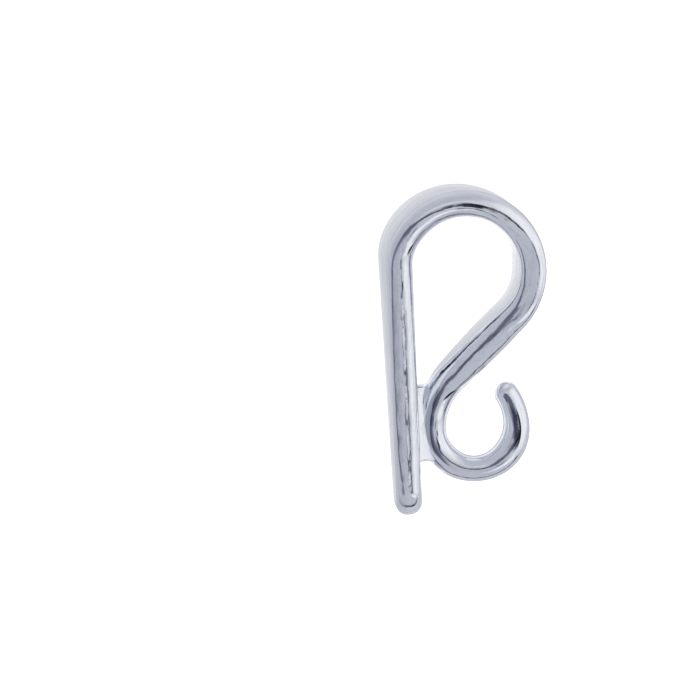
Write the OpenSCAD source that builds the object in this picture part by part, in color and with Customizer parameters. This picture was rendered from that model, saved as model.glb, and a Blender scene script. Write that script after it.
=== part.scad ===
// Tapered pendant bail with an open hook, cast and polished in one piece.
// One strip runs from the tip of the front plate, over the crown, down the
// back leg and round the hook. Solder joins the hook's stem to the plate.
// The bail lies on its side, as it would on a table. X is its depth, front
// plate at -X, Y its height, crown at +Y, and Z is up, across the strip.

/* [Course of the strip] */
// Straight length of the front plate, tip to shoulder
plate_l = 7.8; // [7:0.1:9]
// Radius of the shoulder bend above the plate, on the strip's middle
shoulder_r = 1.5; // [1.2:0.05:1.9]
// Angle that the shoulder turns
shoulder_a = 29; // [20:1:35]
// Radius of the crown that a chain runs through
crown_r = 2.1; // [2:0.05:2.3]
// Angle between the back leg and the front plate
leg_a = 47.4; // [44:0.2:50]
// Straight length of the back leg
leg_l = 2.53; // [2.4:0.01:2.6]
// Radius of the neck, where the leg turns down into the hook's stem
neck_r = 2.23; // [2.1:0.01:2.4]
// Radius of the hook
hook_r = 1.3; // [1.2:0.05:1.4]
// Angle that the hook turns
hook_a = 178; // [170:1:185]
// Radius of the last, straighter stretch of the hook
lip_r = 1.8; // [1.6:0.02:2.4]
// Angle that the last stretch turns
lip_a = 45; // [30:1:50]

/* [Section of the strip] */
// Width that the plate's two sides would have at the very tip
tip_w = 1.75; // [1.5:0.05:2.1]
// Growth of the plate's width for each millimetre of its height
taper = 0.33; // [0.25:0.01:0.36]
// Length over which the plate's tip rounds in
tip_l = 0.77; // [0.5:0.01:1]
// Widest part of the strip, just above the shoulder
crown_w = 4.8; // [4.6:0.05:5]
// Thickness of the front plate
plate_t = 0.8; // [0.7:0.02:0.84]
// Rounding of the plate's long edges towards its front face
front_r = 0.12; // [0.1:0.01:0.2]
// Rounding of the plate's long edges towards its back
back_r = 0.32; // [0.25:0.01:0.36]
// Thickness of the back leg, where the strip is stoutest
leg_t = 0.98; // [0.85:0.01:1.05]
// Diameter of the hook's wire at its lowest point
hook_t = 0.8; // [0.7:0.01:0.85]

/* [Solder] */
// Height of the solder's lower end above the plate's tip
solder_lo = 1.53; // [1.3:0.01:1.8]
// Height of the solder's upper end above the plate's tip
solder_hi = 4.1; // [3.6:0.01:4.2]
// Width of the solder at its waist
solder_w = 0.62; // [0.4:0.02:0.8]
// Spread of the solder where it wets the plate, on each side
solder_foot = 0.26; // [0.05:0.01:0.3]

/* [Fineness] */
// Facets round each edge of the strip
edge_n = 7; // [4:1:9]
// Longest step along a bend
bend_step = 0.27; // [0.2:0.01:0.5]
// Longest step along a straight stretch
flat_step = 0.65; // [0.4:0.05:1]

/* [Hidden] */

// Each stretch of the course: length, radius (0 for straight), and turn, where right is positive
crown_a = 180 + leg_a - shoulder_a;
course = [
    [plate_l, 0, 0],
    [arc_length(shoulder_r, shoulder_a), shoulder_r, shoulder_a],
    [arc_length(crown_r, crown_a), crown_r, crown_a],
    [leg_l, 0, 0],
    [arc_length(neck_r, leg_a), neck_r, -leg_a],
    [arc_length(hook_r, hook_a), hook_r, -hook_a],
    [arc_length(lip_r, lip_a), lip_r, -lip_a]
];

// Distances along the strip at which the stretches begin
crown_s = course[0][0] + course[1][0];
leg_s = crown_s + course[2][0];
neck_s = leg_s + leg_l;
hook_s = neck_s + course[4][0];
lip_s = hook_s + course[5][0];
end_s = lip_s + course[6][0];

// Columns of the section table
PLACE = 0;
WIDTH = 1;
THICKNESS = 2;
FRONT = 3;
BACK = 4;

// Section of the strip by distance along it. Front and back are how far the long edges are rounded
// towards the front face, which is the loop's outside, and towards the back
plate_w = tip_w + taper * plate_l;
sections = [
    [0, tip_w, plate_t, back_r + 0.02, back_r + 0.02],
    [tip_l, tip_w + taper * tip_l, plate_t, front_r + 0.14, back_r + 0.01],
    [2.2, tip_w + taper * 2.2, plate_t, front_r + 0.02, back_r],
    [plate_l - 2, plate_w - 2 * taper, plate_t, front_r, back_r],
    [plate_l, plate_w, plate_t + 0.02, front_r + 0.1, back_r + 0.08],
    [crown_s + 0.6, crown_w, plate_t + 0.04, 0.34, 0.46],
    [crown_s + 2.2, 4.62, 0.8, 0.37, 0.34],
    [crown_s + 3.9, 4.24, 0.8, 0.4, 0.18],
    [crown_s + 4.9, 4, 0.8, 0.34, 0.14],
    [crown_s + 5.9, 3.74, 0.8, 0.28, 0.14],
    [leg_s - 0.4, 3.46, 0.84, 0.3, 0.22],
    [leg_s + 0.6, 3.1, leg_t - 0.04, 0.52, 0.34],
    [leg_s + 0.6 * leg_l, 2.6, leg_t, 0.58, 0.38],
    [neck_s, 1.95, leg_t - 0.02, 0.48, 0.44],
    [neck_s + 0.5 * course[4][0], 1.35, leg_t - 0.08, 0.38, 0.47],
    [hook_s, 0.92, 0.84, 0.36, 0.46],
    [hook_s + 0.3 * course[5][0], hook_t + 0.04, hook_t + 0.04, 0.42, 0.4],
    [hook_s + 0.5 * course[5][0], hook_t, hook_t, 0.39, 0.39],
    [lip_s - 0.7, 0.88, 0.88, 0.43, 0.42],
    [lip_s + 0.4, 0.78, 0.78, 0.38, 0.38],
    [end_s, 0.72, 0.72, 0.35, 0.35]
];
last_row = len(sections) - 1;
lip_t = sections[last_row][THICKNESS];
// Most that an edge is rounded across the strip, and the largest share of the half width
deepest = 0.45;
most_round = 0.94;

function arc_length(radius, angle) = radius * angle * PI / 180;

// Point and heading after a distance along one stretch, from a start
function along(start, stretch, s) =
    let (heading = start[2], radius = stretch[1], side = sign(stretch[2]))
    radius == 0
        ? [start[0] + s * cos(heading), start[1] + s * sin(heading), heading]
        : let (
            turned = s / radius * 180 / PI * side,
            centre_x = start[0] + side * radius * sin(heading),
            centre_y = start[1] - side * radius * cos(heading)
        )
        [centre_x - side * radius * sin(heading - turned),
         centre_y + side * radius * cos(heading - turned),
         heading - turned];

// Point and heading of the strip's middle at a distance from the plate's tip
function middle(s, i = 0, start = [0, 0, 90]) =
    (i == len(course) - 1 || s <= course[i][0])
        ? along(start, course[i], s)
        : middle(s - course[i][0], i + 1, along(start, course[i], course[i][0]));

// Slope of a column at a row of the section table
function slope(i, column) =
    let (before = sections[max(i - 1, 0)], after = sections[min(i + 1, last_row)])
    (after[column] - before[column]) / (after[PLACE] - before[PLACE]);

// Smooth value of a column between the rows of the section table
function section_value(s, column) =
    let (
        i = max([0, for (k = [0 : last_row - 1]) if (sections[k][PLACE] <= s) k]),
        gap = sections[i + 1][PLACE] - sections[i][PLACE],
        u = (s - sections[i][PLACE]) / gap,
        v = 1 - u
    )
    v * v * (1 + 2 * u) * sections[i][column]
        + u * u * (1 + 2 * v) * sections[i + 1][column]
        + u * v * gap * (v * slope(i, column) - u * slope(i + 1, column));

// Share of the full section at a distance from a rounded end
function end_share(distance, length) =
    distance >= length ? 1 : sqrt(1 - pow(1 - distance / length, 2));

lip_share_l = lip_t / 2;
function width_at(s) =
    section_value(s, WIDTH) * end_share(s, tip_l) * end_share(end_s - s, lip_share_l);
function thin_share(s) = end_share(s, plate_t / 2) * end_share(end_s - s, lip_share_l);
function thickness_at(s) = section_value(s, THICKNESS) * thin_share(s);
function rounding_at(s, column) =
    let (both = section_value(s, FRONT) + section_value(s, BACK))
    section_value(s, column) * min(thin_share(s), thickness_at(s) / both);

// Ring of points round the strip at a distance from the plate's tip
function ring(s) =
    let (
        place = middle(s),
        half_t = thickness_at(s) / 2,
        half_w = width_at(s) / 2
    )
    [for (corner = [0 : 3], j = [0 : edge_n - 1])
        let (
            angle = 90 * corner + 90 * (j + 0.5) / edge_n,
            face = corner == 0 || corner == 3 ? 1 : -1,
            side = corner < 2 ? 1 : -1,
            reach = rounding_at(s, face == 1 ? BACK : FRONT),
            deep = min(reach, deepest, most_round * half_w),
            out = face * (half_t - reach) + reach * cos(angle),
            across = side * (half_w - deep) + deep * sin(angle)
        )
        [place[0] + out * sin(place[2]), place[1] - out * cos(place[2]), across]];

// Distances of the rings: close together at the ends and bends, wide apart on the plate and leg
function steps(from, length, longest) =
    let (n = ceil(length / longest))
    [for (i = [0 : n - 1]) from + length * i / n];
cap_angles = [8, 22, 37, 53, 70];
stations = concat(
    [for (a = cap_angles) plate_t / 2 * (1 - cos(a))],
    steps(plate_t / 2, tip_l - plate_t / 2, 0.1),
    steps(tip_l, plate_l - tip_l, flat_step),
    steps(plate_l, leg_s - plate_l, bend_step),
    steps(leg_s, leg_l, bend_step),
    steps(neck_s, hook_s - neck_s, bend_step),
    steps(hook_s, end_s - lip_share_l - hook_s, 0.6 * bend_step),
    [for (i = [len(cap_angles) : -1 : 0])
        end_s - lip_share_l * (1 - cos(i == len(cap_angles) ? 90 : cap_angles[i]))]
);
ring_n = 4 * edge_n;
points = [for (s = stations) each ring(s)];
faces = concat(
    [[for (j = [ring_n - 1 : -1 : 0]) j]],
    [for (i = [0 : len(stations) - 2], j = [0 : ring_n - 1])
        let (a = i * ring_n, k = (j + 1) % ring_n)
        [a + j, a + k, a + ring_n + k, a + ring_n + j]],
    [[for (j = [0 : ring_n - 1]) (len(stations) - 1) * ring_n + j]]
);

// The bail lies on three places of its lower edges: where the tip's rounding ends, the
// widest place of the crown, and the back. Each slope is the least that clears every ring
tip_reach = width_at(tip_l) / 2;
front_slope = max([for (s = steps(plate_l, leg_s - plate_l, 0.1))
    if (s < crown_s + 1.5) (width_at(s) / 2 - tip_reach) / (middle(s)[1] - tip_l)]);
back_slope = max([for (s = steps(crown_s + 2.5, neck_s - crown_s - 2.5, 0.1))
    let (place = middle(s))
    (width_at(s) / 2 - tip_reach - front_slope * (place[1] - tip_l)) / place[0]]);
lie_x = atan(front_slope);
lie_y = atan(-back_slope * cos(lie_x));

function laid(p) =
    let (
        y = p[1] * cos(lie_x) - p[2] * sin(lie_x),
        z = p[1] * sin(lie_x) + p[2] * cos(lie_x)
    )
    [p[0] * cos(lie_y) + z * sin(lie_y), y, z * cos(lie_y) - p[0] * sin(lie_y)];
laid_points = [for (p = points) laid(p)];
function low(axis) = min([for (p = laid_points) p[axis]]);
function high(axis) = max([for (p = laid_points) p[axis]]);
floor_shift = [-(low(0) + high(0)) / 2, -(low(1) + high(1)) / 2, -low(2)];

// The solder reaches from inside the plate to where its ends meet the stem
solder_n = 9;
solder_from = 0.5 * plate_t - 0.1;
solder_to = middle(hook_s)[0];
// Bow of the solder's free edges between the plate and the stem
solder_bow = 0.1;

module strip() {
    polyhedron(points = points, faces = faces);
}

// Thin slice of the solder at a share of the way from plate to stem
module solder_slice(share) {
    waist = (1 - share) * (1 - share * (1 - 0.5 * share));
    spread = solder_w + 2 * solder_foot * waist;
    bow = solder_bow * (1 - 4 * pow(share - 0.5, 2));
    bottom = solder_lo + bow;
    top = solder_hi - bow;
    translate([solder_from + share * (solder_to - solder_from), bottom, -spread / 2])
        cube([0.01, top - bottom, spread]);
}

module solder() {
    for (i = [0 : solder_n - 1])
        hull() {
            solder_slice(i / solder_n);
            solder_slice((i + 1) / solder_n);
        }
}

module bail() {
    color("silver")
        translate(floor_shift)
            rotate([lie_x, lie_y, 0])
                union() {
                    strip();
                    solder();
                }
}

bail();
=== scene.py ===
"""Polished silver pendant bail, lying on its side on a white floor."""
import math

import bmesh
import bpy
from mathutils import Matrix, Vector
from mathutils.kdtree import KDTree


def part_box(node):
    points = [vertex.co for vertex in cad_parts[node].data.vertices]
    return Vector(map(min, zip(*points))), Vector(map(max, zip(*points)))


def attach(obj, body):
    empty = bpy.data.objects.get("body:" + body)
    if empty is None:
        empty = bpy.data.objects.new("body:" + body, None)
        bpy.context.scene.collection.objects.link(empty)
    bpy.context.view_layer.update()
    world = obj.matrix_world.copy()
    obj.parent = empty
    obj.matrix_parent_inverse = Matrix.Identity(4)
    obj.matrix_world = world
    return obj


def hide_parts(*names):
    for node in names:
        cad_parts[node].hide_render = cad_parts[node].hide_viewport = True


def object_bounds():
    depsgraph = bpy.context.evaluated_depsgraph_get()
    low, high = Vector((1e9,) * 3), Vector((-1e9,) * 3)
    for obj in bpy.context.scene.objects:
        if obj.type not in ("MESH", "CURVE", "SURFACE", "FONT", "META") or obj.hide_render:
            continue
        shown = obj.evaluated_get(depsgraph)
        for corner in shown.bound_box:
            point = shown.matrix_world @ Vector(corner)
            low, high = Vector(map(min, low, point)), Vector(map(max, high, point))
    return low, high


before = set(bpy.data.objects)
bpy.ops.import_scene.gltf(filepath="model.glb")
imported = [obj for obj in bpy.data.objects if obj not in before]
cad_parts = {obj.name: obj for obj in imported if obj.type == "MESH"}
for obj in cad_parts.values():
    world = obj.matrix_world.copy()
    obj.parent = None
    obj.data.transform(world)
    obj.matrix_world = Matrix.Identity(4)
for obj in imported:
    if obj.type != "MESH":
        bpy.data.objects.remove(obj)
cad_low, cad_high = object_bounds()

MM = 0.001

# Course of the strip from the plate's tip, in millimetres and degrees. L is a length, R a radius to
# the strip's middle, A a turn, and S further down a distance along the strip
PLATE_L = 7.8
SHOULDER_R, SHOULDER_A = 1.5, 29
CROWN_R = 2.1
LEG_A, LEG_L = 47.4, 2.53
NECK_R = 2.23
HOOK_R, HOOK_A = 1.3, 178
LIP_R, LIP_A = 1.8, 45
CROWN_A = 180 + LEG_A - SHOULDER_A


def arc_length(radius, angle):
    return radius * math.radians(angle)


# Each stretch's length, its radius, or 0 where it is straight, and its turn to the right
STRETCHES = [
    (PLATE_L, 0, 0),
    (arc_length(SHOULDER_R, SHOULDER_A), SHOULDER_R, SHOULDER_A),
    (arc_length(CROWN_R, CROWN_A), CROWN_R, CROWN_A),
    (LEG_L, 0, 0),
    (arc_length(NECK_R, LEG_A), NECK_R, -LEG_A),
    (arc_length(HOOK_R, HOOK_A), HOOK_R, -HOOK_A),
    (arc_length(LIP_R, LIP_A), LIP_R, -LIP_A),
]
CROWN_S = PLATE_L + STRETCHES[1][0]
LEG_S = CROWN_S + STRETCHES[2][0]
NECK_S = LEG_S + LEG_L
HOOK_S = NECK_S + STRETCHES[4][0]
LIP_S = HOOK_S + STRETCHES[5][0]
END_S = LIP_S + STRETCHES[6][0]

# Width of the plate at its tip and its gain for each millimetre, and the lengths that the tip and the
# hook's lip take to round off
TIP_W, TAPER = 1.75, 0.33
TIP_L, LIP_END_L = 0.77, 0.36
PLATE_W = TIP_W + TAPER * PLATE_L

# Section of the strip: place along it, width, thickness, and rounding of its edge towards the front
# face, which is the loop's outside, and towards the back
SECTIONS = [
    (0, TIP_W, 0.80, 0.34, 0.34),
    (TIP_L, TIP_W + TAPER * TIP_L, 0.80, 0.26, 0.33),
    (2.2, TIP_W + TAPER * 2.2, 0.80, 0.14, 0.32),
    (PLATE_L - 2, PLATE_W - 2 * TAPER, 0.80, 0.12, 0.32),
    (PLATE_L, PLATE_W, 0.82, 0.22, 0.40),
    (CROWN_S + 0.6, 4.80, 0.84, 0.34, 0.46),
    (CROWN_S + 2.2, 4.62, 0.80, 0.37, 0.34),
    (CROWN_S + 3.9, 4.24, 0.80, 0.40, 0.18),
    (CROWN_S + 4.9, 4.00, 0.80, 0.34, 0.14),
    (CROWN_S + 5.9, 3.74, 0.80, 0.28, 0.14),
    (LEG_S - 0.4, 3.46, 0.84, 0.30, 0.22),
    (LEG_S + 0.6, 3.10, 0.94, 0.52, 0.34),
    (LEG_S + 0.6 * LEG_L, 2.60, 0.98, 0.58, 0.38),
    (NECK_S, 1.95, 0.96, 0.48, 0.44),
    (NECK_S + 0.5 * STRETCHES[4][0], 1.35, 0.90, 0.38, 0.47),
    (HOOK_S, 0.92, 0.84, 0.36, 0.46),
    (HOOK_S + 0.3 * STRETCHES[5][0], 0.84, 0.84, 0.42, 0.40),
    (HOOK_S + 0.5 * STRETCHES[5][0], 0.80, 0.80, 0.39, 0.39),
    (LIP_S - 0.7, 0.88, 0.88, 0.43, 0.42),
    (LIP_S + 0.4, 0.78, 0.78, 0.38, 0.38),
    (END_S, 0.72, 0.72, 0.35, 0.35),
]
WIDTH, THICKNESS, FRONT, BACK = 1, 2, 3, 4
# Furthest that a rounding reaches in from the edge, in millimetres and as a share of half the width
DEEPEST, MOST_ROUND = 0.45, 0.94
# How far the middle of the edge stands proud
EDGE_RISE = 0.016

# Solder between the plate's back and the stem: its two ends, its width at the stem, how much wider
# its foot is to each side, how its ends bow in, how deep it sits in the plate, and its rounded rim
SOLDER_LOW, SOLDER_HIGH = 1.53, 4.1
SOLDER_W, SOLDER_FOOT, SOLDER_BOW = 0.62, 0.26, 0.1
SOLDER_SUNK, SOLDER_LIP = 0.1, 0.08
# Points of its mesh from the plate to the stem, and rows along the strip
SOLDER_N, SOLDER_ROWS = 14, 60

# Angles that the bail leans by as it lies on its lower edges
LIE_X, LIE_Y = 9.694, 2.976

# Points round half a section: half of each face, each corner, and the edge
FACE_N, CORNER_N, EDGE_N = 6, 9, 8
RING_N = 2 * (2 * FACE_N + 2 * CORNER_N + EDGE_N)

# Points this close, in millimetres, are one point
SEAM_GAP = 1e-6
# Faces that meet at more than this many degrees keep a crisp edge between them
SEAM_ANGLE = 25

# Longest steps along the strip, and the degrees round its two rounded ends at which there is a ring
STEP_STRAIGHT, STEP_BEND, STEP_HOOK = 0.12, 0.05, 0.035
TIP_TURNS, LIP_TURNS = range(4, 90, 5), range(88, 3, -5)


def course_at(s):
    """Place and heading of the strip's middle at a distance from the plate's tip"""
    x, y, heading = 0.0, 0.0, 90.0
    for length, radius, turn in STRETCHES:
        step = min(s, length)
        if radius == 0:
            x += step * math.cos(math.radians(heading))
            y += step * math.sin(math.radians(heading))
        else:
            side = math.copysign(1, turn)
            turned = side * math.degrees(step / radius)
            x += side * radius * (math.sin(math.radians(heading)) - math.sin(math.radians(heading - turned)))
            y -= side * radius * (math.cos(math.radians(heading)) - math.cos(math.radians(heading - turned)))
            heading -= turned
        s -= step
        if s <= 0:
            break
    return x, y, heading


def section_slope(i, column):
    before, after = SECTIONS[max(i - 1, 0)], SECTIONS[min(i + 1, len(SECTIONS) - 1)]
    return (after[column] - before[column]) / (after[0] - before[0])


def section_value(s, column):
    """Smooth value of a column between the rows of the section table"""
    i = max(k for k in range(len(SECTIONS) - 1) if SECTIONS[k][0] <= max(s, 0))
    gap = SECTIONS[i + 1][0] - SECTIONS[i][0]
    gone = (s - SECTIONS[i][0]) / gap
    left = 1 - gone
    return (
        left * left * (1 + 2 * gone) * SECTIONS[i][column]
        + gone * gone * (1 + 2 * left) * SECTIONS[i + 1][column]
        + gone * left * gap * (left * section_slope(i, column) - gone * section_slope(i + 1, column))
    )


def end_share(distance, length):
    """Share of the full section at a distance from a rounded end"""
    return 1.0 if distance >= length else math.sqrt(max(0, 1 - (1 - distance / length) ** 2))


def section_at(s):
    """Half width, half thickness, and front and back rounding of the strip"""
    plate_t = SECTIONS[0][THICKNESS]
    lip = end_share(END_S - s, LIP_END_L)
    thin = end_share(s, plate_t / 2) * lip
    half_w = 0.5 * section_value(s, WIDTH) * end_share(s, TIP_L) * lip
    half_t, front, back = (section_value(s, column) * thin for column in (THICKNESS, FRONT, BACK))
    return half_w, half_t / 2, front, back


def half_outline(half_w, half_t, front, back):
    """Points of half a section, as out and across, from the middle of the back to the middle of the front"""

    def corner(side, reach):
        deep = min(reach, DEEPEST, MOST_ROUND * half_w)
        points = [(side * half_t, (half_w - deep) * i / FACE_N) for i in range(FACE_N)]
        for i in range(CORNER_N + 1):
            angle = math.radians(90 * i / CORNER_N)
            out = half_t - reach + reach * math.cos(angle)
            points.append((side * out, half_w - deep + deep * math.sin(angle)))
        return points

    def risen(out, across):
        return out, across * (1 + EDGE_RISE / half_w * (1 - (out / half_t) ** 2))

    first, last = corner(1, back), corner(-1, front)
    start, end = first[-1][0], last[-1][0]
    edge = [(start + (end - start) * i / EDGE_N, half_w) for i in range(1, EDGE_N)]
    return [risen(*point) for point in first + edge + last[::-1]]


def ring_outline(*section):
    """Points right round a section, the second half the mirror of the first"""
    half = half_outline(*section)
    return half + [(out, -across) for out, across in half[-2:0:-1]]


def stations():
    """Distances of the rings: close together at the ends and round the bends"""
    plate_t = SECTIONS[0][THICKNESS]
    tip = [plate_t / 2 * (1 - math.cos(math.radians(a))) for a in TIP_TURNS]
    lip = [END_S - LIP_END_L * (1 - math.cos(math.radians(a))) for a in LIP_TURNS]

    def steps(start, end, longest):
        n = math.ceil((end - start) / longest)
        return [start + (end - start) * i / n for i in range(n)]

    return (
        tip
        + steps(plate_t / 2, TIP_L, STEP_HOOK)
        + steps(TIP_L, PLATE_L, STEP_STRAIGHT)
        + steps(PLATE_L, LEG_S, STEP_BEND)
        + steps(LEG_S, HOOK_S, STEP_BEND)
        + steps(HOOK_S, END_S - LIP_END_L, STEP_HOOK)
        + lip
    )


def strip_point(s, out, across):
    """Place in the bail of a point of the unbent strip"""
    x, y, heading = course_at(s)
    turn = math.radians(heading)
    return Vector((x + out * math.sin(turn), y - out * math.cos(turn), across))


def strip_mesh():
    """A grid rolled up round the strip's sections and bent along its course"""
    bm = bmesh.new()
    unbent = bm.verts.layers.float_vector.new("unbent")
    places = stations()
    rows = len(places)
    grid = bmesh.ops.create_grid(bm, x_segments=RING_N, y_segments=rows - 1, size=0.5)["verts"]
    outlines = [ring_outline(*section_at(s)) for s in places]
    for vert in grid:
        row = round((vert.co.y + 0.5) * (rows - 1))
        out, across = outlines[row][round((vert.co.x + 0.5) * RING_N) % RING_N]
        vert[unbent] = Vector((places[row], out, across))
        vert.co = strip_point(places[row], out, across)
    bmesh.ops.remove_doubles(bm, verts=bm.verts, dist=SEAM_GAP)
    rims = [edge for edge in bm.edges if edge.is_boundary]
    bmesh.ops.holes_fill(bm, edges=rims, sides=RING_N)
    bmesh.ops.recalc_face_normals(bm, faces=bm.faces)
    return bm


def solder_mesh():
    """The fillet of solder: a grid rolled up round the gap between the plate's back and the stem"""
    bm = bmesh.new()
    x_from = SECTIONS[0][THICKNESS] / 2 - SOLDER_SUNK
    x_to = course_at(HOOK_S)[0]
    round_n = 2 * SOLDER_N + 2
    grid = bmesh.ops.create_grid(bm, x_segments=round_n, y_segments=SOLDER_ROWS, size=0.5)["verts"]
    for vert in grid:
        place = round((vert.co.x + 0.5) * round_n) % round_n
        share = min(place, round_n - 1 - place) / SOLDER_N
        side = 1 if place <= SOLDER_N else -1
        bow = SOLDER_BOW * (1 - 4 * (share - 0.5) ** 2)
        low, high = SOLDER_LOW + bow, SOLDER_HIGH - bow
        y = low + (high - low) * 0.5 * (1 - math.cos(math.pi * (vert.co.y + 0.5)))
        half = SOLDER_W / 2 + SOLDER_FOOT * (1 - share) * (1 - share * (1 - 0.5 * share))
        half *= end_share(min(y - low, high - y), SOLDER_LIP)
        vert.co = Vector((x_from + share * (x_to - x_from), y, side * half))
    bmesh.ops.remove_doubles(bm, verts=bm.verts, dist=SEAM_GAP)
    bmesh.ops.recalc_face_normals(bm, faces=bm.faces)
    return bm


def fused(strip, solder):
    """One closed mesh of the strip and its solder. Only the strip's own points carry marks"""
    known = [(v.co.copy(), v[strip.verts.layers.float_vector["unbent"]].copy()) for v in strip.verts]
    nearest = KDTree(len(known))
    for i, (co, _) in enumerate(known):
        nearest.insert(co, i)
    nearest.balance()
    base, added = new_object("strip", strip), new_object("solder", solder)
    join = base.modifiers.new("join", "BOOLEAN")
    join.operation = "UNION"
    join.solver = "EXACT"
    join.object = added
    mesh = bpy.data.meshes.new_from_object(base.evaluated_get(bpy.context.evaluated_depsgraph_get()))
    for piece in (base, added):
        bpy.data.objects.remove(piece)
    bm = bmesh.new()
    bm.from_mesh(mesh)
    unbent = bm.verts.layers.float_vector["unbent"]
    marked = bm.verts.layers.float.new("marked")
    for vert in bm.verts:
        _, i, gap = nearest.find(vert.co)
        vert[unbent] = known[i][1]
        vert[marked] = 1 if gap < SEAM_GAP else 0
    for edge in bm.edges:
        edge.smooth = edge.calc_face_angle(0) < math.radians(SEAM_ANGLE)
    return bm


def lay_down(bm):
    """Leans the bail as it lies, and sets it in the middle of its place on the floor"""
    turn = Matrix.Rotation(math.radians(LIE_Y), 4, "Y") @ Matrix.Rotation(math.radians(LIE_X), 4, "X")
    bmesh.ops.transform(bm, matrix=Matrix.Scale(MM, 4) @ turn, verts=bm.verts)
    low = Vector(min(v.co[i] for v in bm.verts) for i in range(3))
    high = Vector(max(v.co[i] for v in bm.verts) for i in range(3))
    box_low, box_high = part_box("bail")
    shift = 0.5 * (Vector(box_low) + Vector(box_high) - low - high)
    shift.z = box_low[2] - low.z
    bmesh.ops.translate(bm, vec=shift, verts=bm.verts)


def new_object(name, bm, smooth=True):
    mesh = bpy.data.meshes.new(name)
    bm.to_mesh(mesh)
    bm.free()
    for face in mesh.polygons:
        face.use_smooth = smooth
    piece = bpy.data.objects.new(name, mesh)
    bpy.context.scene.collection.objects.link(piece)
    return piece


def build_bail():
    bm = fused(strip_mesh(), solder_mesh())
    lay_down(bm)
    bail = new_object("silver_bail", bm)
    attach(bail, "root")
    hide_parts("bail")
    return bail


# The camera looks down on the bail from the plate's tip side, nearly straight. The bail's middle is
# at a place in the frame, and the camera is as far off as so many of the frame's pixels
PHOTO_PX = 700
CAMERA_ELEVATION, CAMERA_SIDE, CAMERA_ROLL = 84.73, 0.27, 3.62
BAIL_PX = (467.14, 341.64)
PX_PER_MM = 32.6
DISTANCE_PX = 9000
SENSOR_W = 36
CLIP_NEAR, CLIP_FAR = 0.01, 10


def camera_axes():
    """Right, up and back of the camera in the bail's frame"""
    side, pitch = math.radians(CAMERA_SIDE), math.radians(90 - CAMERA_ELEVATION)
    back = Vector((-math.sin(side), -math.sin(pitch), 0))
    back.z = math.sqrt(1 - back.length_squared)
    up = (Vector((0, 1, 0)) - back * back.y).normalized()
    right = up.cross(back)
    roll = math.radians(CAMERA_ROLL)
    return (
        right * math.cos(roll) - up * math.sin(roll),
        up * math.cos(roll) + right * math.sin(roll),
        back,
    )


def add_camera():
    right, up, back = camera_axes()
    centre = 0.5 * (Vector(cad_low) + Vector(cad_high))
    px = MM / PX_PER_MM
    target = centre - right * (BAIL_PX[0] - PHOTO_PX / 2) * px + up * (BAIL_PX[1] - PHOTO_PX / 2) * px
    data = bpy.data.cameras.new("camera")
    data.sensor_width = SENSOR_W
    data.lens = SENSOR_W * DISTANCE_PX / PHOTO_PX
    data.clip_start = CLIP_NEAR
    data.clip_end = CLIP_FAR
    camera = bpy.data.objects.new("camera", data)
    turn = Matrix((right, up, back)).transposed()
    camera.matrix_world = Matrix.Translation(target + back * DISTANCE_PX * px) @ turn.to_4x4()
    bpy.context.scene.collection.objects.link(camera)
    bpy.context.scene.camera = camera


# White paper: half its side in metres, its tone, its glow and its roughness
PAPER_HALF = 1.5
PAPER_WHITE, PAPER_GLOW, PAPER_ROUGH = (0.9, 0.9, 0.9, 1), 0.95, 0.9

# Card just under the paper: half its side in metres, its squares each way and its height, then its
# painted glow close to the bail and away from it, a painted pool of light, and the metres in which the one
# gives way to the other
CARD_HALF, CARD_N, CARD_HEIGHT = 0.008, 160, -0.00002
CARD_NEAR = (1.10, 1.10, 1.10, 1)
CARD_FAR = (0.61, 0.62, 0.67, 1)
CARD_FALL = 0.00018


def paper_finish():
    finish = bpy.data.materials.new("paper")
    finish.use_nodes = True
    shader = finish.node_tree.nodes["Principled BSDF"]
    shader.inputs["Base Color"].default_value = PAPER_WHITE
    shader.inputs["Roughness"].default_value = PAPER_ROUGH
    shader.inputs["Emission Color"].default_value = PAPER_WHITE
    shader.inputs["Emission Strength"].default_value = PAPER_GLOW
    return finish


def card_finish():
    """Glows by how near the bail is, and mirrors nothing itself"""
    finish = bpy.data.materials.new("card")
    nodes = Nodes(finish)
    shader = finish.node_tree.nodes["Principled BSDF"]
    shader.inputs["Base Color"].default_value = (0, 0, 0, 1)
    shader.inputs["Specular IOR Level"].default_value = 0
    shader.inputs["Emission Strength"].default_value = 1
    near = nodes.make("Attribute", {"attribute_name": "near"}, output=2)
    nodes.feed(shader, {"Emission Color": nodes.blend(near, CARD_FAR, CARD_NEAR)})
    return finish


def add_sheet(name, half, segments, height, finish):
    bm = bmesh.new()
    bmesh.ops.create_grid(bm, x_segments=segments, y_segments=segments, size=half)
    bmesh.ops.translate(bm, vec=(0, 0, height), verts=bm.verts)
    sheet = new_object(name, bm, smooth=False)
    sheet.data.materials.append(finish)
    return sheet


def add_floor(bail):
    """White paper for the eye, and the card that the silver mirrors, with a painted pool of light that glows
    white where it meets the bail
    """
    paper = add_sheet("paper", PAPER_HALF, 1, 0, paper_finish())
    paper.visible_glossy = False
    paper.visible_diffuse = False
    card = add_sheet("card", CARD_HALF, CARD_N, CARD_HEIGHT, card_finish())
    card.visible_camera = False
    bail_outline = KDTree(len(bail.data.vertices))
    for vert in bail.data.vertices:
        bail_outline.insert((vert.co.x, vert.co.y, 0), vert.index)
    bail_outline.balance()
    # Painted pool of light: the card glows brighter the nearer it lies to the bail's outline
    nearness = card.data.attributes.new("near", "FLOAT", "POINT")
    for vert in card.data.vertices:
        gap = bail_outline.find((vert.co.x, vert.co.y, 0))[2]
        nearness.data[vert.index].value = math.exp(-gap / CARD_FALL)


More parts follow.
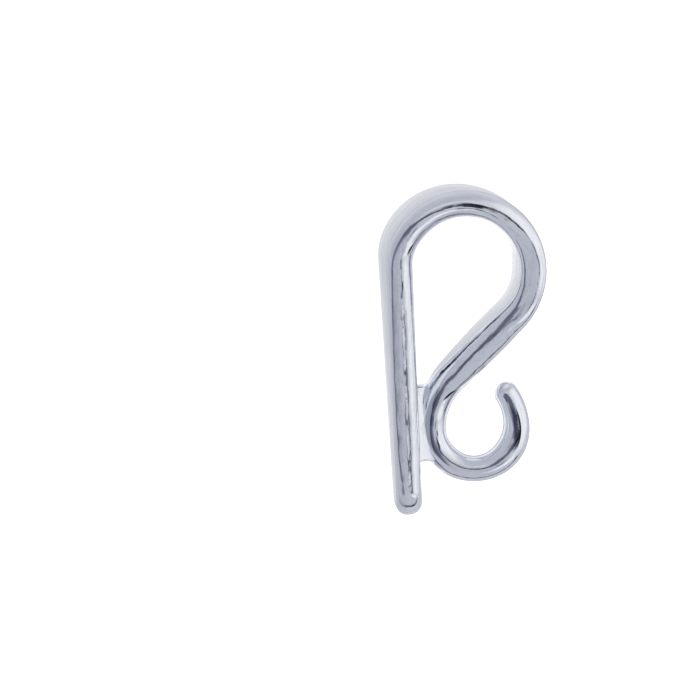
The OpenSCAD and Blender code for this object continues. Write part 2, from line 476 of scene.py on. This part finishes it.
class Value:
    """A node's output, so that shader maths reads as arithmetic"""

    def __init__(self, nodes, socket):
        self.nodes = nodes
        self.socket = socket

    def _math(self, operation, *values):
        return self.nodes.make("Math", {"operation": operation}, dict(enumerate(values)))

    def __add__(self, other):
        return self._math("ADD", self, other)

    def __radd__(self, other):
        return self._math("ADD", other, self)

    def __sub__(self, other):
        return self._math("SUBTRACT", self, other)

    def __rsub__(self, other):
        return self._math("SUBTRACT", other, self)

    def __mul__(self, other):
        return self._math("MULTIPLY", self, other)

    def __rmul__(self, other):
        return self._math("MULTIPLY", other, self)


class Nodes:
    """The node tree of a material or of the world"""

    def __init__(self, owner):
        owner.use_nodes = True
        self.tree = owner.node_tree

    def make(self, kind, settings=None, inputs=None, output=0):
        """A node of any type, with its settings set first and then its sockets' values or links"""
        node = self.tree.nodes.new("ShaderNode" + kind)
        for name, value in (settings or {}).items():
            setattr(node, name, value)
        self.feed(node, inputs or {})
        return Value(self, node.outputs[output])

    def feed(self, node, inputs):
        for name, value in inputs.items():
            if isinstance(value, Value):
                self.tree.links.new(value.socket, node.inputs[name])
            else:
                node.inputs[name].default_value = value

    def dot(self, vector, axis):
        """How far a vector points along a fixed axis"""
        return self.make("VectorMath", {"operation": "DOT_PRODUCT"}, {0: vector, 1: tuple(axis)}, 1)

    def smooth(self, value, start, end):
        """0 before the start, 1 past the end, and a smooth rise between"""
        ends = {"Value": value, "From Min": start, "From Max": end}
        return self.make("MapRange", {"interpolation_type": "SMOOTHSTEP"}, ends)

    def blend(self, share, first, second):
        """A colour that turns from the first to the second"""
        return self.make("Mix", {"data_type": "RGBA"}, {0: share, 6: first, 7: second}, 2)

    def noise(self, place, per_mm, detail):
        """Soft noise from 0 to 1, with so many blots to the millimetre each way"""
        spread = self.make("VectorMath", {"operation": "MULTIPLY"}, {0: place, 1: per_mm})
        return self.make("TexNoise", inputs={"Vector": spread, "Scale": 1, "Detail": detail})


def mirrored(right_of, above):
    """Direction that lies so many degrees right of the camera's axis and above it, seen in the picture"""
    right, up, back = camera_axes()
    off = math.radians(math.hypot(right_of, above))
    clock = math.atan2(above, right_of)
    return back * math.cos(off) + (right * math.cos(clock) + up * math.sin(clock)) * math.sin(off)


# Cloth all round the bail, and the sines of the heights where its upper and its lower tone are whole
CLOTH = (0.54, 0.552, 0.612, 1)
LOW_CLOTH = (0.70, 0.71, 0.757, 1)
CLOTH_TOP, CLOTH_FOOT = 0.65, -0.45

# Patches of light and dark in front of it: each one's colour, its place as mirrored() takes it, its
# reach in degrees along and across its long axis, the turn of that axis, and its edge's softness
PATCHES = [
    ("side panel", (0.96, 0.965, 0.975, 1), (72, 2), (46, 40), 0, 0.6),
    ("lower cloth", (0.56, 0.57, 0.63, 1), (0, -78), (60, 30), 0, 0.6),
    ("upper cloth", (0.70, 0.71, 0.76, 1), (12, 15), (20, 6), 0, 0.6),
    ("low window", (0.94, 0.945, 0.96, 1), (36, -47), (20, 9), 8, 0.6),
    ("left cloth", (0.10, 0.105, 0.15, 1), (-20, -30), (14.5, 8), -15, 0.6),
    ("left cloth's edge", (0.14, 0.147, 0.20, 1), (-14, -18), (12, 8), 0, 0.6),
    ("dark card", (0.11, 0.118, 0.165, 1), (-4, -7), (22, 8), 0, 0.6),
    ("black card", (0.012, 0.014, 0.024, 1), (19, -8), (10, 5), 0, 0.4),
    ("right strip", (0.12, 0.125, 0.165, 1), (31, -17), (7, 5), 15, 0.5),
    ("left strip", (0.13, 0.137, 0.18, 1), (-20, 1), (5, 5), 0, 0.5),
    ("small card", (0.10, 0.105, 0.15, 1), (16, -29), (4, 4.5), 0, 0.5),
    ("far corner", (0.05, 0.055, 0.08, 1), (70, -60), (6, 5), 0, 0.6),
    ("gap under the cloth", (0.04, 0.043, 0.06, 1), (0, -98), (70, 4.6), 0, 0.6),
]
# Softness of the cut that keeps each patch off the far side of the studio
PATCH_SIDE = 0.1


def patch(nodes, direction, place, reach, turn, soft):
    """Share of a soft oval patch of the studio"""
    right, up, back = camera_axes()
    centre = mirrored(*place)
    side = up.cross(centre).normalized()
    rise = centre.cross(side)
    turn = math.radians(turn)
    along = side * math.cos(turn) + rise * math.sin(turn)
    across = rise * math.cos(turn) - side * math.sin(turn)
    run = nodes.dot(direction, along / math.sin(math.radians(reach[0])))
    off = nodes.dot(direction, across / math.sin(math.radians(reach[1])))
    oval = nodes.smooth(run * run + off * off, 1 + soft, 1 - soft)
    return oval * nodes.smooth(nodes.dot(direction, centre), 0, PATCH_SIDE)


def light_studio():
    world = bpy.data.worlds.new("studio")
    bpy.context.scene.world = world
    nodes = Nodes(world)
    direction = nodes.make("TexCoord", output=0)
    height = nodes.dot(direction, (0, 0, 1))
    colour = nodes.blend(nodes.smooth(height, CLOTH_TOP, CLOTH_FOOT), CLOTH, LOW_CLOTH)
    for _, tone, place, reach, turn, soft in PATCHES:
        colour = nodes.blend(patch(nodes, direction, place, reach, turn, soft), colour, tone)
    nodes.feed(world.node_tree.nodes["Background"], {"Color": colour})
    bpy.context.scene.view_settings.view_transform = "Standard"


# Marks in the silver: how many to the millimetre along, through and across the strip, and their
# depth in thousandths of a millimetre
DENTS, DENT_DEPTH = (1.6, 3.2, 3.2), 15
STREAKS, STREAK_DEPTH = (1.1, 15, 15), 1.6
GRAIN, GRAIN_DEPTH = (16, 20, 20), 0.8
MICRON = 0.000001

# A file's ridge on the plate's edge: its place through the strip, how wide it rises and drops, its
# height, where it starts and ends along the strip, how it wanders, and how often it breaks off
RIDGE_OUT, RIDGE_RISE, RIDGE_DROP, RIDGE_HEIGHT = -0.03, 0.42, 0.1, 20
RIDGE_FROM, RIDGE_TO = 0.9, 7.4
RIDGE_START_L, RIDGE_END_L = 0.3, 1
WANDERS, WANDER = (3, 0, 0), 0.1
BREAKS, BROKEN, WHOLE = (1.5, 0, 0), 0.2, 0.8

# Wear in blots, and the plate's front edge, rubbed dull up to a place along the strip
WEAR, WEAR_NONE, WEAR_FULL = (0.9, 4, 4), 0.35, 0.7
RUBBED_OUT, RUBBED_TO, RUBBED_FADE = -0.2, 9.5, 2

# The silver's colour, and how much each mark dulls and roughens it
SILVER = (0.86, 0.88, 0.92, 1)
DULL_SILVER = (0.76, 0.78, 0.84, 1)
WEAR_DULLS, RUBBED_DULLS, STREAK_DULLS = 0.5, 0.6, 1.5
GRAIN_DULLS, GRAIN_BRIGHT = 1.2, 0.35
POLISHED, WEAR_ROUGH, GRAIN_ROUGH, RUBBED_ROUGH = 0.05, 0.06, 0.06, 0.12

# Dark nicks, and painted dark reflections at the stem and the hook: place along the strip, place through it,
# slope, and half the length and width
NICK_AND_REFLECTION_BLACK = (0.02, 0.02, 0.03, 1)
NICKS_AND_DARK_REFLECTIONS = [
    (18.95, -0.215, 0.30, 0.24, 0.034),
    (8.42, 0.225, 0.12, 0.20, 0.026),
    (7.20, 0.06, 0.02, 0.14, 0.016),
    (24.20, 0.09, -0.07, 0.60, 0.030),
]
# Painted dark reflections, beside the solder and inside the hook, in the same terms
PAINTED_REFLECTION_GREY = (0.36, 0.38, 0.44, 1)
PAINTED_DARK_REFLECTIONS = [
    (19.9, 0.15, 0, 1.0, 0.10),
    (24.25, -0.02, -0.15, 0.70, 0.11),
]
# Softness of a mark's edge, and the millimetres over which it fades in above the strip's middle
MARK_SOFT, MARK_SIDE = 0.5, 0.1


def mark(nodes, along, out, across, shape):
    """Share of one long, thin mark, on the upper side only"""
    place, middle, slope, half_l, half_w = shape
    run = (along - place) * (1 / half_l)
    off = (out - middle - (along - place) * slope) * (1 / half_w)
    oval = nodes.smooth(run * run + off * off, 1 + MARK_SOFT, 1 - MARK_SOFT)
    return oval * nodes.smooth(across, 0, MARK_SIDE)


def file_ridge(nodes, unbent, along, out):
    """Share of the ridge's height, which the file left along the plate's edge"""
    past = out - RIDGE_OUT + (nodes.noise(unbent, WANDERS, 4) - 0.5) * WANDER
    ridge = nodes.smooth(past, -RIDGE_RISE, 0) * nodes.smooth(past, RIDGE_DROP, 0)
    ridge = ridge * nodes.smooth(along, RIDGE_FROM, RIDGE_FROM + RIDGE_START_L)
    ridge = ridge * nodes.smooth(along, RIDGE_TO, RIDGE_TO - RIDGE_END_L)
    return ridge * nodes.smooth(nodes.noise(unbent, BREAKS, 0), BROKEN, WHOLE)


def silver_finish():
    """Silver polished by hand: soft dents, fine streaks along the strip, a file's ridge, dark nicks, and
    painted dark reflections beside the solder, at the stem and in the hook
    """
    finish = bpy.data.materials.new("polished_silver")
    nodes = Nodes(finish)
    shader = finish.node_tree.nodes["Principled BSDF"]
    unbent = nodes.make("Attribute", {"attribute_name": "unbent"}, output=1)
    along, out, across = (nodes.make("SeparateXYZ", inputs={0: unbent}, output=i) for i in range(3))
    dents = nodes.noise(unbent, DENTS, 1)
    streaks = nodes.noise(unbent, STREAKS, 3)
    grain = nodes.noise(unbent, GRAIN, 2)
    worn = nodes.smooth(nodes.noise(unbent, WEAR, 3), WEAR_NONE, WEAR_FULL)
    rubbed = nodes.smooth(out, 0, RUBBED_OUT) * nodes.smooth(along, RUBBED_TO, RUBBED_TO - RUBBED_FADE)

    height = (dents - 0.5) * DENT_DEPTH + (streaks - 0.5) * STREAK_DEPTH + (grain - 0.5) * GRAIN_DEPTH
    height = height + file_ridge(nodes, unbent, along, out) * RIDGE_HEIGHT
    height = height * nodes.make("Attribute", {"attribute_name": "marked"}, output=2)

    dull = worn * WEAR_DULLS + (grain - GRAIN_BRIGHT) * GRAIN_DULLS
    dull = dull + (streaks - 0.5) * STREAK_DULLS + rubbed * RUBBED_DULLS
    colour = nodes.blend(dull, SILVER, DULL_SILVER)
    # Painted dark reflections beside the solder and inside the hook
    for shape in PAINTED_DARK_REFLECTIONS:
        colour = nodes.blend(mark(nodes, along, out, across, shape), colour, PAINTED_REFLECTION_GREY)
    # Dark nicks, and painted dark reflections at the stem and the hook
    for shape in NICKS_AND_DARK_REFLECTIONS:
        colour = nodes.blend(mark(nodes, along, out, across, shape), colour, NICK_AND_REFLECTION_BLACK)

    shader.inputs["Metallic"].default_value = 1
    looks = {
        "Base Color": colour,
        "Roughness": POLISHED + worn * WEAR_ROUGH + grain * GRAIN_ROUGH + rubbed * RUBBED_ROUGH,
        "Normal": nodes.make("Bump", inputs={"Height": height, "Strength": 1, "Distance": MICRON}),
    }
    nodes.feed(shader, looks)
    return finish


add_camera()
bail = build_bail()
bail.data.materials.append(silver_finish())
add_floor(bail)
light_studio()
